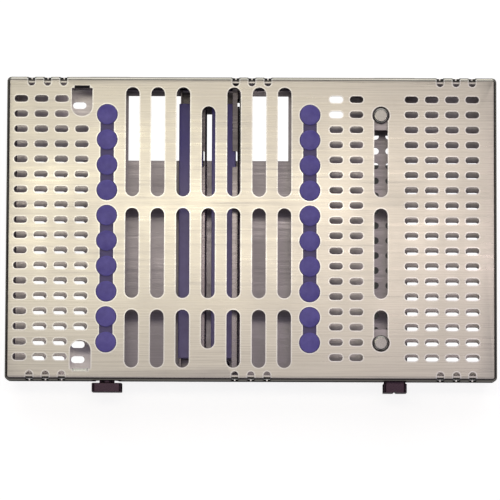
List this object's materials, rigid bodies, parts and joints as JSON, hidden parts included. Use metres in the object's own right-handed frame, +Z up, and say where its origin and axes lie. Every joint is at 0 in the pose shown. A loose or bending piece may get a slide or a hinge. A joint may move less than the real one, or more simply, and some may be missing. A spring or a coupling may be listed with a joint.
{
  "type": "dental instrument cassette",
  "caption": "Flat perforated steel case for dental instruments, with a hinged lid, silicone rails that hold the instruments and quarter-turn latches.",
  "frame": {"origin": "centre of the base tray's flat underside, on the table", "axes": "+X along the length, towards the accessory posts; +Y from the latches to the hinges; +Z up through the closed lid"},
  "size_m": [0.29, 0.1886, 0.0333],
  "materials": {
    "lid_steel": "brushed along the length",
    "tray_steel": "satin",
    "bracket_steel": "satin",
    "hardware_steel": "polished",
    "silicone": "matt, slightly translucent"
  },
  "bodies": {
    "base": {"base_tray": "tray_steel", "base_rail_channel_left": "bracket_steel", "base_rail_channel_right": "bracket_steel", "centre_channel_left": "bracket_steel", "centre_channel_right": "bracket_steel", "accessory_bracket_rear": "bracket_steel", "accessory_bracket_front": "bracket_steel", "hinge_leaf_base_left": "bracket_steel", "hinge_leaf_base_right": "bracket_steel", "base_silicone_left": "silicone", "base_silicone_right": "silicone", "centre_silicone_left": "silicone", "centre_silicone_right": "silicone", "accessory_post_rear": "hardware_steel", "accessory_post_front": "hardware_steel", "hinge_pin_left": "hardware_steel", "hinge_pin_right": "hardware_steel", "base_rail_rivets": "hardware_steel", "centre_channel_rivets": "hardware_steel", "accessory_bracket_rivets": "hardware_steel", "hinge_rivets_base": "hardware_steel"},
    "lid": {"lid_shell": "lid_steel", "lid_silicone_left": "silicone", "lid_silicone_right": "silicone", "lid_retainer_left": "bracket_steel", "lid_retainer_right": "bracket_steel", "hinge_leaf_lid_left": "bracket_steel", "hinge_leaf_lid_right": "bracket_steel", "hinge_rivets_lid": "hardware_steel"},
    "latch_left": {"latch_knob_left": "hardware_steel", "latch_washer_left": "hardware_steel"},
    "latch_right": {"latch_knob_right": "hardware_steel", "latch_washer_right": "hardware_steel"}
  },
  "joints": [
    {"name": "lid_hinge", "type": "hinge", "parent": "base", "child": "lid", "pos_m": [0, 0.09, 0.017], "axis": [-1, 0, 0], "range_deg": [0, 180]},
    {"name": "latch_left_turn", "type": "hinge", "parent": "base", "child": "latch_left", "pos_m": [-0.085, -0.0877, 0.022], "axis": [0, 1, 0], "range_deg": [0, 90]},
    {"name": "latch_right_turn", "type": "hinge", "parent": "base", "child": "latch_right", "pos_m": [0.085, -0.0877, 0.022], "axis": [0, 1, 0], "range_deg": [-90, 0]}
  ]
}
